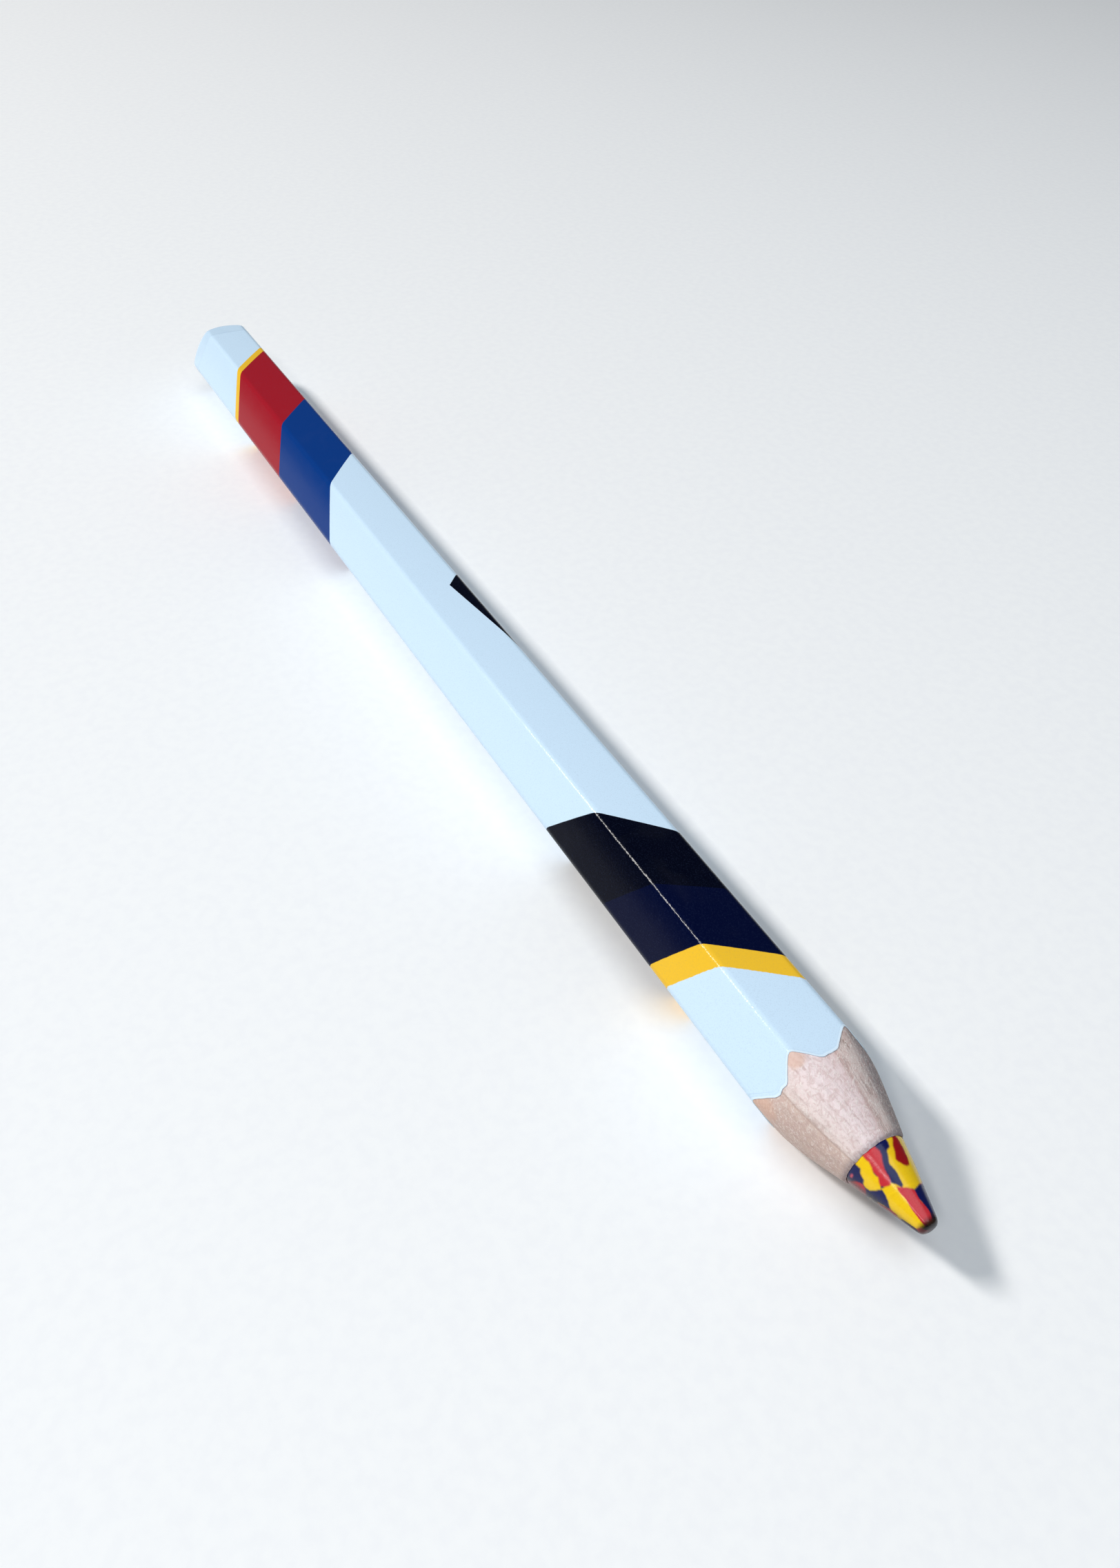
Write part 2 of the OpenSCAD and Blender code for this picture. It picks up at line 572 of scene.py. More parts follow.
@dataclass(frozen=True)
class SharpenedWood:
    """Bare wood as a sharpener leaves it: fuzzy fibres, streaks and smooth peaks, with painted
    shade on the side turned from the light.

    Attributes:
        name: The material's name.
        stops: Colours round the pencil, by the azimuth in degrees; on the upper slat they darken
            from about 30 to 90 degrees as painted shade.
        seam: Azimuth of the glued seam.
        last_peak: Where the smooth peaks end, as a share of the way round.
    """

    name: str
    effects: SharedEffects
    centre: Vector
    stops: tuple[tuple[float, Colour], ...]
    seam: float = -60.0
    last_peak: float = 0.5
    fibre_dark: Colour = paint(142, 112, 104)
    blotch_colour: Colour = paint(196, 160, 154)
    fibre_pale: Colour = paint(248, 238, 232)
    smooth_colour: Colour = paint(220, 176, 152)
    seam_colour: Colour = paint(164, 128, 116)
    smear_colour: Colour = paint(84, 76, 96)
    dust_colour: Colour = paint(176, 160, 152)
    roughness: float = 0.82
    relief_strength: float = 0.45
    relief_depth: float = 0.06
    blotch_share: float = 0.42
    fuzz_share: float = 0.6
    smooth_share: float = 0.62
    smear_share: float = 0.75
    seam_share: float = 0.45
    gleam: float = 0.25
    sheen: float = 0.03
    dust: float = 0.3

    def make(self) -> Material:
        """Writes the material."""
        surface = Surface(self.name, self.centre)
        sketch = surface.sketch
        place = surface.place
        polar = surface.shared(self.effects.polar)
        along, azimuth = (polar[axis] for axis in AXES)
        swayed = sketch.plus(sketch.wobble(place, 1.1, 2.0), 0.012, azimuth)
        tone = sketch.ramp(swayed, [((turn + 180) / 360, colour) for turn, colour in self.stops])
        streaks, fuzz = self._fibres(surface, along, azimuth)
        smooth = self._smooth_peaks(surface, along, azimuth)
        blotches = sketch.span(sketch.noise(place, 2.1, 5.0, 1.1), 0.42, 0.64)
        # Dark streaks are stronger on the +Y side: partly wood grain, partly painted shade on the
        # side turned from the light.
        streak_shade = sketch.span(azimuth, 0.5, 0.56, 0.3, 0.75)
        smear = sketch.times(
            sketch.span(along, 8.3, 8.95), sketch.noise(place, 2.4, 4.0, 0.6)
        )
        colour = tone
        for share, laid in (
            (sketch.times(blotches, self.blotch_share), self.blotch_colour),
            (sketch.times(streaks, streak_shade), self.fibre_dark),
            (sketch.times(fuzz, self.fuzz_share), self.fibre_pale),
            (sketch.times(smooth, self.smooth_share), self.smooth_colour),
            (self._seam_line(sketch, azimuth), self.seam_colour),
            (sketch.times(smear, self.smear_share), self.smear_colour),
            (surface.shared(self.effects.handling, Amount=self.dust)["Marks"], self.dust_colour),
        ):
            colour = sketch.mix(share, colour, laid)
        fluff = sketch.math("SUBTRACT", sketch.times(fuzz, 0.7), streaks)
        height = sketch.times(fluff, sketch.math("SUBTRACT", 1.0, smooth))
        return surface.set(
            Base_Color=colour,
            Roughness=sketch.plus(smooth, -0.3, self.roughness),
            Normal=sketch.bump(self.relief_strength, self.relief_depth, height),
            Specular_IOR_Level=self.gleam,
            Sheen_Weight=self.sheen,
        )

    @staticmethod
    def _fibres(surface: Surface, along: Socket, azimuth: Socket) -> tuple[Socket, Socket]:
        """Makes the dark streaks along the wood and the pale fuzz that lies across them.

        Args:
            surface: The wood's material.
            along: Place along the pencil.
            azimuth: Place round it, 0 to 1.

        Returns:
            Masks of streaks and of fuzz.
        """
        sketch = surface.sketch
        lengthways = sketch.plane(sketch.times(along, 0.32), sketch.times(azimuth, 52.0))
        streaks = sketch.span(sketch.noise(lengthways, 1.5, 4.0, 0.5), 0.44, 0.78)
        slide = sketch.plus(azimuth, 26.0, sketch.times(along, 1.9))
        slanting = sketch.plane(slide, sketch.plus(azimuth, 70.0, along))
        strokes = sketch.times(sketch.noise(slanting, 1.7, 4.0, 1.3), 0.6)
        fine = sketch.noise(surface.place, 7.0, 3.0, 0.8)
        return streaks, sketch.span(sketch.plus(fine, 0.45, strokes), 0.5, 0.68)

    def _smooth_peaks(self, surface: Surface, along: Socket, azimuth: Socket) -> Socket:
        """Makes the mask of the smooth, burnished patch at each peak of the wood.

        Args:
            surface: The wood's material.
            along: Place along the pencil.
            azimuth: Place round it, 0 to 1.

        Returns:
            The mask, 1 in the patches.
        """
        sketch = surface.sketch
        sixth = sketch.math("FRACT", sketch.times(azimuth, 360 / FLAT_STEP))
        widening = sketch.span(azimuth, 0.3, 0.38, 0.62, 1.1)
        side = sketch.times(sketch.apart(sixth, 0.5), widening)
        pace = sketch.span(azimuth, 0.3, 0.38, 0.1, 0.2)
        length = sketch.times(sketch.math("SUBTRACT", along, 0.55), pace)
        reach = sketch.plus(length, length, sketch.times(side, side))
        reach = sketch.plus(sketch.wobble(surface.place, 1.6, 3.0, 0.6), 0.03, reach)
        patch = sketch.span(reach, 0.046, 0.008)
        return sketch.times(patch, sketch.span(azimuth, self.last_peak, self.last_peak - 0.02))

    def _seam_line(self, sketch: Sketch, azimuth: Socket) -> Socket:
        """Makes the mask of the brown line of glue along the seam."""
        offset = sketch.apart(azimuth, (self.seam + 180) / 360)
        return sketch.span(offset, 0.006, 0.0, 0.0, self.seam_share)


# Upper slat's colours by azimuth: the wood's tones, darkened from about 30 to 90 degrees as painted
# shade on the side turned from the light.
UPPER_TONES = (
    (-180.0, paint(206, 188, 178)),
    (-60.0, paint(230, 212, 204)),
    (-50.0, paint(240, 221, 217)),
    (-25.0, paint(246, 228, 229)),
    (0.0, paint(236, 214, 214)),
    (6.0, paint(212, 184, 178)),
    (10.0, paint(228, 208, 202)),
    (22.0, paint(214, 198, 192)),
    (34.0, paint(176, 164, 162)),
    (46.0, paint(150, 140, 138)),
    (90.0, paint(176, 162, 154)),
    (180.0, paint(206, 188, 178)),
)
LOWER_TONES = (
    (-180.0, paint(204, 182, 164)),
    (-95.0, paint(205, 180, 167)),
    (-75.0, paint(211, 184, 172)),
    (-60.0, paint(218, 194, 182)),
    (120.0, paint(200, 180, 164)),
    (180.0, paint(204, 182, 164)),
)


@dataclass(frozen=True)
class MarbledPigment:
    """Waxy pigment whose patches are painted on the core's mesh."""

    effects: SharedEffects
    centre: Vector
    mottle_colour: Colour = paint(120, 104, 96)
    ring_pitch: float = 9.0
    relief_strength: float = 0.3
    relief_depth: float = 0.03
    roughness: float = 0.13
    scraped_roughness: float = 0.14
    gleam: float = 0.34
    dust: float = 0.35

    def make(self) -> Material:
        """Writes the material."""
        surface = Surface("marbled_pigment", self.centre)
        sketch = surface.sketch
        painted = sketch.painted(PIGMENT)
        grain = sketch.noise(surface.place, 8.0, 4.0, 0.4)
        marks = surface.shared(self.effects.handling, Amount=self.dust)["Marks"]
        mottled = sketch.mix(0.25, painted, self.mottle_colour, "SOFT_LIGHT")
        polar = surface.shared(self.effects.polar)
        rings = sketch.plane(*(sketch.times(polar[axis], self.ring_pitch) for axis in AXES))
        scrapes = sketch.noise(rings, 1.6, 3.0)
        relief = sketch.plus(grain, 0.5, scrapes)
        roughness = sketch.plus(scrapes, self.scraped_roughness, self.roughness)
        return surface.set(
            Base_Color=sketch.mix(sketch.span(grain, 0.42, 0.7), painted, mottled),
            Roughness=sketch.plus(marks, 0.2, roughness),
            Normal=sketch.bump(self.relief_strength, self.relief_depth, relief),
            Specular_IOR_Level=self.gleam,
        )


@dataclass(frozen=True)
class PalePaper:
    """The plain pale floor."""

    colour: Colour = paint(250, 250, 250)
    tooth_colour: Colour = paint(247, 247, 248)

    def make(self) -> Material:
        """Writes the material."""
        surface = Surface("pale_paper", Vector())
        sketch = surface.sketch
        tooth = sketch.span(sketch.noise(surface.place, 0.8, 4.0), 0.3, 0.7)
        shade = sketch.mix(tooth, self.colour, self.tooth_colour)
        return surface.set(Base_Color=shade, Roughness=0.95, Specular_IOR_Level=0.1)


# ---- Shapes ----


@dataclass(frozen=True)
class HexSection:
    """The barrel's section: a hexagon with rounded corners and flats at top and bottom."""

    half_flats: float
    edge_round: float
    crown: float = 0.05
    flat_cuts: int = 23
    round_steps: int = 8

    @property
    def edge_reach(self) -> float:
        """Gives the distance from the axis to the middles of the corners' arcs."""
        return (self.half_flats - self.edge_round) / math.cos(math.radians(HALF_STEP))

    @property
    def corner_radius(self) -> float:
        """Gives the radius of the long edges."""
        return self.edge_reach + self.edge_round

    def radius(self, azimuth: float, inset: float = 0.0) -> float:
        """Gives the section's radius.

        Args:
            azimuth: Where, in degrees.
            inset: How far inside the barrel's surface.

        Returns:
            The distance from the axis.
        """
        from_flat = off_flat(azimuth)
        flat = math.radians(from_flat)
        corner = math.radians(HALF_STEP - from_flat)
        reach = self.edge_reach
        if self.half_flats * math.tan(flat) <= reach * math.sin(math.radians(HALF_STEP)):
            return (self.half_flats - inset) / math.cos(flat)
        squares = (self.edge_round - inset) ** 2 - (reach * math.sin(corner)) ** 2
        return reach * math.cos(corner) + math.sqrt(max(squares, 0.0))

    def crowned(self, azimuth: float, inset: float = 0.0) -> float:
        """Gives the radius of a coat that is thinner toward the long edges.

        Args:
            azimuth: Where, in degrees.
            inset: How far inside the barrel's surface it is on the flats.

        Returns:
            The distance from the axis.
        """
        share = math.tan(math.radians(off_flat(azimuth))) / math.tan(math.radians(HALF_STEP))
        return self.radius(azimuth, inset + self.crown * share**2)

    def ring(self, bm: Shape) -> list[bmesh.types.BMEdge]:
        """Draws the section as a ring of edges about the X axis, and returns its edges."""
        sharp = self.half_flats / math.cos(math.radians(HALF_STEP)) * MM
        bmesh.ops.create_circle(bm, cap_ends=True, segments=6, radius=sharp)
        trim = self.edge_round * math.tan(math.radians(HALF_STEP)) * MM
        bmesh.ops.bevel(
            bm,
            geom=list(bm.verts),
            offset=trim,
            offset_type="OFFSET",
            segments=self.round_steps,
            profile=0.5,
            affect="VERTICES",
            material=-1,
        )
        flats = [edge for edge in bm.edges if edge.calc_length() > trim]
        bmesh.ops.subdivide_edges(bm, edges=flats, cuts=self.flat_cuts)
        bmesh.ops.delete(bm, geom=list(bm.faces), context="FACES_ONLY")
        spin = Matrix.Rotation(math.radians(HALF_STEP), 4, "Z")
        stand = Matrix.Rotation(math.pi / 2, 4, "Y") @ spin
        bmesh.ops.transform(bm, matrix=stand, verts=list(bm.verts))
        turn = Matrix.Rotation(self._turn_to_flat(bm), 3, "X")
        bmesh.ops.rotate(bm, cent=(0, 0, 0), matrix=turn, verts=list(bm.verts))
        return list(bm.edges)

    @staticmethod
    def _turn_to_flat(bm: Shape) -> float:
        """Gives the turn in radians about X that brings a flat to the top."""
        near = min(bm.verts, key=lambda vert: vert.co.length)
        angle = math.atan2(near.co.y, near.co.z)
        step = math.radians(FLAT_STEP)
        return angle - round(angle / step) * step


@dataclass
class Loft:
    """A ring that is drawn out into a tube and then shaped, ring by ring.

    Attributes:
        axis_z: Height of the pencil's axis, in metres.
        start_x: Where places along the pencil are counted from, in metres.
        off_centre: How far the sharpened point is off the barrel's axis.
        off_turn: Azimuth toward which it is off.
        off_span: Places between which it comes off the axis.
    """

    axis_z: float
    start_x: float
    off_centre: float = 0.125
    off_turn: float = -110.0
    off_span: tuple[float, float] = (1.0, 6.5)

    def draw(self, bm: Shape, ring: list[bmesh.types.BMEdge], count: int) -> None:
        """Draws a ring out and numbers the rings.

        Args:
            bm: The mesh, which holds nothing but the ring.
            ring: The ring's edges.
            count: How many rings there are in the end.
        """
        station = bm.verts.layers.int.new(STATION)
        for number in range(1, count):
            drawn = bmesh.ops.extrude_edge_only(bm, edges=ring)["geom"]
            verts = {item for item in drawn if isinstance(item, bmesh.types.BMVert)}
            edges = (item for item in drawn if isinstance(item, bmesh.types.BMEdge))
            ring = [edge for edge in edges if verts.issuperset(edge.verts)]
            for vert in verts:
                vert[station] = number
            bmesh.ops.translate(bm, vec=(MM, 0, 0), verts=list(verts))

    def shape(self, bm: Shape, form: Callable[[int, float], Point]) -> None:
        """Moves each vertex to its place and closes what meets.

        Args:
            bm: The drawn mesh.
            form: Gives the place along and the radius, from a ring's number and an azimuth.
        """
        station = bm.verts.layers.int[STATION]
        off = math.radians(self.off_turn)
        for vert in bm.verts:
            turn = math.atan2(vert.co.y, vert.co.z)
            along, radius = form(vert[station], math.degrees(turn))
            shift = self.off_centre * ease(along, *self.off_span)
            vert.co = (
                self.start_x + along * MM,
                (radius * math.sin(turn) + shift * math.sin(off)) * MM,
                self.axis_z + (radius * math.cos(turn) + shift * math.cos(off)) * MM,
            )
        bmesh.ops.remove_doubles(bm, verts=list(bm.verts), dist=MERGE)
        bmesh.ops.recalc_face_normals(bm, faces=list(bm.faces))


def finish_piece(
    bm: Shape,
    name: str,
    material: Material,
    nodes: Iterable[str],
    crease: float = 32.0,
) -> Piece:
    """Turns a mesh into a finished piece that stands for its CAD nodes.

    Args:
        bm: The mesh, which is used up.
        name: The piece's name.
        material: Its finish.
        nodes: The CAD nodes that it replaces.
        crease: Edges sharper than this many degrees stay sharp.

    Returns:
        The new object.
    """
    for face in bm.faces:
        face.smooth = True
    for edge in bm.edges:
        edge.smooth = not edge.is_manifold or edge.calc_face_angle() < math.radians(crease)
    mesh = bpy.data.meshes.new(name)
    bm.to_mesh(mesh)
    bm.free()
    mesh.materials.append(material)
    piece = bpy.data.objects.new(name, mesh)
    bpy.context.scene.collection.objects.link(piece)
    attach(piece, ROOT)
    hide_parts(*nodes)
    log.info("%s: %d faces", name, len(mesh.polygons))
    return piece


@dataclass
class Outline:
    """Lengthways outline of the pencil, with its places counted from the wood's peaks.

    Attributes:
        section: The barrel's section.
        tip: Place of the tip.
        end: Place of the rounded end.
    """

    section: HexSection
    tip: float
    end: float
    film_wall: float = 0.12
    skin: float = 0.02
    core_radius: float = 2.8
    core_face: float = 9.0
    face_radius: float = 2.9
    dome_radius: float = 6.8
    dip_wall: float = 0.3
    dip_length: float = 5.0
    first_slope: float = 0.248
    edge_wander: float = 0.11
    edge_ripple: float = 0.035
    tear: float = 0.11
    lobe: tuple[Point, ...] = (
        (0.0, 0.0), (2.5, 0.1), (5.0, 0.3), (8.0, 0.56), (12.0, 0.88),
        (15.3, 1.16), (18.5, 1.42), (20.5, 1.56), (22.5, 1.62), (30.0, 1.64),
    )

    @property
    def dome_middle(self) -> float:
        """Gives the place of the dome's middle."""
        return self.end + self.dome_radius

    @property
    def dip_front(self) -> float:
        """Gives the place of the dipped lacquer's front edge."""
        return self.end + self.dip_length

    @property
    def bed_radius(self) -> float:
        """Gives the dome's radius under the lacquer."""
        return self.dome_radius - self.dip_wall

    def cone(self, along: float) -> float:
        """Gives the sharpened wood's plain radius at a place."""
        start = self.section.corner_radius
        bend = (self.face_radius - start + self.first_slope * self.core_face) / self.core_face**2
        return start - self.first_slope * along + bend * along**2

    def film_edge(self, azimuth: float) -> float:
        """Gives the place of the film's scalloped front edge, with its little tear."""
        from_corner = HALF_STEP - off_flat(azimuth)
        edge = chain(from_corner, self.lobe)
        wander = rough_round(azimuth, 2.6, 0.0, 3.0) * ease(from_corner, 4, 16)
        edge += self.edge_wander * wander + self.edge_ripple * rough_round(azimuth, 14, 1.0, 5.0)
        return edge + self.tear * (bell(azimuth, -63.0, 2.4) - bell(azimuth, -57.0, 4.0))

    def bed(self, along: float) -> float:
        """Gives the radius of the dome under the lacquer at a place, or 0 beyond it."""
        if along >= self.dome_middle:
            return self.dome_radius
        return math.sqrt(max(self.bed_radius**2 - (along - self.dome_middle) ** 2, 0.0))


@dataclass
class FilmPiece:
    """The printed film round the barrel, with a lip along its scalloped front edge."""

    outline: Outline
    loft: Loft
    lip_height: float = 0.011
    lip_behind: float = 0.1
    crease_behind: float = 0.52
    inner_end: float = -2.0
    long_step: float = 5.0
    back_steps: tuple[float, ...] = (0.0, 0.02, 0.2)
    behind: tuple[float, ...] = (
        9, 7, 5.5, 4.4, 3.5, 2.8, 2.2, 1.7, 1.35, 1.1, 0.92, 0.8, 0.72, 0.66, 0.61, 0.57, 0.53,
        0.49, 0.45, 0.41, 0.37, 0.33, 0.29, 0.25, 0.21, 0.17, 0.13, 0.1, 0.07, 0.045, 0.02, 0.005,
    )
    over: tuple[Point, ...] = ((-0.008, 0.015), (-0.012, 0.04), (-0.005, 0.08), (0.02, 0.118))

    def build(self, material: Material) -> Piece:
        """Builds the film in its finish, and returns the piece."""
        outline = self.outline
        back = outline.dip_front
        run = -self.behind[0] - back
        steps = max(int(run / self.long_step), 1)
        barrel = [back + start for start in self.back_steps]
        barrel += [back + run * step / steps for step in range(1, steps)]
        wall = outline.film_wall
        inner = ((self.inner_end, wall), (back, wall), (back, outline.skin))
        count = len(barrel) + len(self.behind) + len(self.over) + len(inner)

        def form(number: int, azimuth: float) -> Point:
            """Gives the place and radius of a ring at an azimuth."""
            edge = outline.film_edge(azimuth)
            if number < len(barrel):
                along, depth = barrel[number], outline.skin
            elif (number := number - len(barrel)) < len(self.behind):
                behind = self.behind[number]
                along = edge * ease(behind, 7.0, 1.2) - behind
                depth = outline.skin - self._lip(behind, azimuth)
            elif (number := number - len(self.behind)) < len(self.over):
                behind, share = self.over[number]
                along, depth = edge - behind, outline.skin + share * 0.85
            else:
                along, depth = inner[number - len(self.over)]
            return along, outline.section.crowned(azimuth, depth)

        bm = bmesh.new()
        self.loft.draw(bm, outline.section.ring(bm), count)
        self._mark_rim(bm, len(barrel))
        self.loft.shape(bm, form)
        return finish_piece(bm, "film_shell", material, ["barrel_film"])

    def _mark_rim(self, bm: Shape, first: int) -> None:
        """Marks the painted highlight along the film's front lip, and the painted shade in its
        creases.

        Args:
            bm: The drawn mesh, before it is shaped.
            first: Number of the first ring of the front end.
        """
        station = bm.verts.layers.int[STATION]
        layer = bm.verts.layers.float_color.new(RIM)
        for vert in bm.verts:
            number = vert[station] - first
            if number < len(self.behind):
                behind = self.behind[max(number, 0)]
            else:
                behind = 0.0
            azimuth = math.degrees(math.atan2(vert.co.y, vert.co.z))
            # First channel: painted highlight along the lip. Second channel: painted shade in the
            # crease behind it and in a thin line just behind the lip.
            pale = ease(behind, 0.26, 0.12)
            crease = bell(behind, self.crease_behind, 0.06) * (0.15 + 0.85 * bell(azimuth, -86, 22))
            crease = max(crease, 0.7 * bell(behind, 0.3, 0.05))
            vert[layer] = (pale, crease, 0.0, 1.0)

    def _lip(self, behind: float, azimuth: float) -> float:
        """Gives the height of the lip over the film, less the faint crease behind it."""
        lip = self.lip_height * bell(behind, self.lip_behind, 0.12)
        crease = (0.012 * bell(azimuth, -88, 26) + 0.003) * bell(behind, self.crease_behind, 0.05)
        return lip - crease


@dataclass
class DipPiece:
    """The dipped lacquer over the domed end, its edge rounded by its own thickness."""

    outline: Outline
    loft: Loft
    flat_rings: int = 10
    edge_rings: int = 12
    dome_rings: int = 16
    rounding: float = 1.1
    inner_rounding: float = 0.2
    lip: float = 0.012
    lip_width: float = 0.15

    def build(self, material: Material) -> Piece:
        """Builds the dipped end in its finish, and returns the piece."""
        outline = self.outline
        last = self.flat_rings + self.edge_rings + self.dome_rings

        def form(number: int, azimuth: float) -> Point:
            """Gives the place and radius of a ring at an azimuth."""
            if number <= last:
                reach = outline.section.crowned(azimuth, outline.skin)
                along, radius = self._profile(number, reach, outline.dome_radius, self.rounding)
                return along, radius + self.lip * bell(along, outline.dip_front, self.lip_width)
            reach = outline.section.radius(azimuth, outline.film_wall)
            number = 2 * last + 1 - number
            return self._profile(number, reach, outline.bed_radius, self.inner_rounding)

        bm = bmesh.new()
        self.loft.draw(bm, outline.section.ring(bm), 2 * last + 2)
        station = bm.verts.layers.int[STATION]
        poles = {last, last + 1}
        between = [face for face in bm.faces if {vert[station] for vert in face.verts} == poles]
        bmesh.ops.delete(bm, geom=between, context="FACES_ONLY")
        self.loft.shape(bm, form)
        rims = [edge for edge in bm.edges if edge.is_boundary]
        bmesh.ops.bridge_loops(bm, edges=rims)
        bmesh.ops.recalc_face_normals(bm, faces=list(bm.faces))
        return finish_piece(bm, "dipped_dome", material, ["end_dip"], crease=50)

    def _profile(self, step: int, reach: float, dome: float, rounding: float) -> Point:
        """Gives a point on the way from the lacquer's front edge over the dome to its pole.

        Args:
            step: Number of the ring.
            reach: The section's radius there.
            dome: Radius of the dome.
            rounding: Radius of the edge between them.

        Returns:
            The place along and the radius.
        """
        middle = self.outline.dome_middle
        front = self.outline.dip_front
        rise = math.sqrt((dome - rounding) ** 2 - (reach - rounding) ** 2)
        if step <= self.flat_rings:
            gone = 0.5 - 0.5 * math.cos(math.pi * step / self.flat_rings)
            return front + (middle - rise - front) * gone, reach
        lean = math.atan2(reach - rounding, rise)
        step -= self.flat_rings
        if step <= self.edge_rings:
            turn = math.pi / 2 + (lean - math.pi / 2) * step / self.edge_rings
            along = middle - rise - rounding * math.cos(turn)
            return along, reach - rounding + rounding * math.sin(turn)
        turn = lean * (1 - (step - self.edge_rings) / self.dome_rings)
        return middle - dome * math.cos(turn), dome * math.sin(turn)


@dataclass
class WoodPieces:
    """The two glued slats: grooved halves of the barrel, turned to a cone at the front."""

    outline: Outline
    loft: Loft
    seam_tilt: float = 30.0
    cone_rings: int = 70
    dome_rings: int = 8
    barrel_end: float = -12.0
    crowding: float = 1.15
    blend_length: float = 1.2
    face_wander: float = 0.12
    face_ripple: float = 0.06
    facet_depth: float = 0.035
    fibre_depth: float = 0.012
    groove_depth: float = 0.03
    seam_lines: tuple[float, float] = (-60.4, 120.4)

    def build(self, upper: Material, lower: Material) -> list[Piece]:
        """Builds both slats from their finishes, and returns the two pieces."""
        return [
            self._slat("upper_wood", 1, upper, "upper_slat"),
            self._slat("lower_wood", -1, lower, "lower_slat"),
        ]

    def _slat(self, name: str, side: int, material: Material, node: str) -> Piece:
        """Builds one slat.

        Args:
            name: The piece's name.
            side: 1 above the seam, -1 below it.
            material: Its finish.
            node: The CAD node that it replaces.

        Returns:
            The piece.
        """
        bm = bmesh.new()
        self._whole(bm)
        tilt = math.radians(self.seam_tilt)
        normal = Vector((0, math.sin(tilt), math.cos(tilt))) * side
        bmesh.ops.bisect_plane(
            bm,
            geom=list(bm.verts) + list(bm.edges) + list(bm.faces),
            dist=MERGE / 2,
            plane_co=(0, 0, self.loft.axis_z),
            plane_no=normal,
            clear_inner=True,
        )
        rims = [edge for edge in bm.edges if edge.is_boundary]
        bmesh.ops.holes_fill(bm, edges=rims, sides=0)
        bmesh.ops.recalc_face_normals(bm, faces=list(bm.faces))
        return finish_piece(bm, name, material, [node], crease=40)

    def _whole(self, bm: Shape) -> None:
        """Draws the glued-up wood with its bore, before it is parted.

        Args:
            bm: The empty mesh to draw in.
        """
        outline = self.outline
        bore = outline.core_radius
        rear = outline.dome_middle - math.sqrt(outline.bed_radius**2 - bore**2)
        cone_start = self.dome_rings + 2
        cone_end = cone_start + self.cone_rings

        def form(number: int, azimuth: float) -> Point:
            """Gives the place and radius of a ring at an azimuth."""
            wall = outline.section.radius(azimuth, outline.film_wall)
            if number == 0:
                return rear, bore
            if number <= self.dome_rings:
                along = rear + (outline.dip_front - rear) * number / self.dome_rings
                return along, min(wall, outline.bed(along))
            if number < cone_start:
                return self.barrel_end, wall
            if number <= cone_end:
                return self._cone((number - cone_start) / self.cone_rings, azimuth)
            return inner[number - cone_end - 1], bore

        inner = (outline.core_face - 0.04, outline.core_face - 2.0, 1.0, rear)
        self.loft.draw(bm, outline.section.ring(bm), cone_end + 1 + len(inner))
        self.loft.shape(bm, form)

    def _cone(self, share: float, azimuth: float) -> Point:
        """Gives a point of the sharpened cone.

        Args:
            share: How far it is from the film's edge to the core, 0 to 1.
            azimuth: Where round the pencil.

        Returns:
            The place along and the radius.
        """
        outline = self.outline
        start = outline.film_edge(azimuth) - 0.05
        face = outline.core_face + self.face_wander * rough_round(azimuth, 1.4, 2.0, 7.0)
        face += self.face_ripple * rough_round(azimuth, 6, 5.0, 9.0) - 0.2 * ease(azimuth, -25, 35)
        along = start + (face - start) * share**self.crowding
        if share >= 1.0:
            return along, outline.core_radius + 0.01
        under = outline.section.radius(azimuth, outline.film_wall * 0.8)
        drop = (outline.cone(start) - under) * math.exp(-(along - start) / self.blend_length)
        radius = min(outline.cone(along) - drop, under)
        settle = ease(share, 0.0, 0.12) * ease(1 - share, 0.0, 0.05)
        facet = self.facet_depth * rough_round(azimuth, 3.2, 0.12 * along, 11.0)
        fibre = self.fibre_depth * rough_round(azimuth, 20, 0.5 * along, 13.0)
        grooves = sum(bell(azimuth, line, 1.0) for line in self.seam_lines)
        grooves += ease(azimuth, 6.0, 10.0) * ease(azimuth, 32.0, 14.0)
        return along, radius + settle * (facet + fibre - self.groove_depth * grooves)


class Pigment(Enum):
    """Colours of the marbled core."""

    NAVY = paint(14, 22, 84)
    YELLOW = paint(248, 205, 26)
    RED = paint(206, 50, 60)
    DEEP_RED = paint(160, 16, 22)
    ROSE = paint(224, 96, 112)
    DUSK = paint(58, 34, 60)
    # Near-black used as painted shade on the core's sides and tip.
    SHADE_DARK = paint(20, 14, 16)
    UMBER = paint(88, 62, 22)


@dataclass(frozen=True)
class Patch:
    """A patch of one pigment on the core's cone.

    Attributes:
        pigment: Its colour.
        outline: Its corners, as places along and azimuths.
    """

    pigment: Pigment
    outline: tuple[Point, ...]

    def holds(self, along: float, azimuth: float) -> bool:
        """Tells whether a place and azimuth lie in the patch."""
        inside = False
        for (x0, a0), (x1, a1) in zip(self.outline, self.outline[1:] + self.outline[:1]):
            if (a0 > azimuth) != (a1 > azimuth):
                if along < x0 + (x1 - x0) * (azimuth - a0) / (a1 - a0):
                    inside = not inside
        return inside


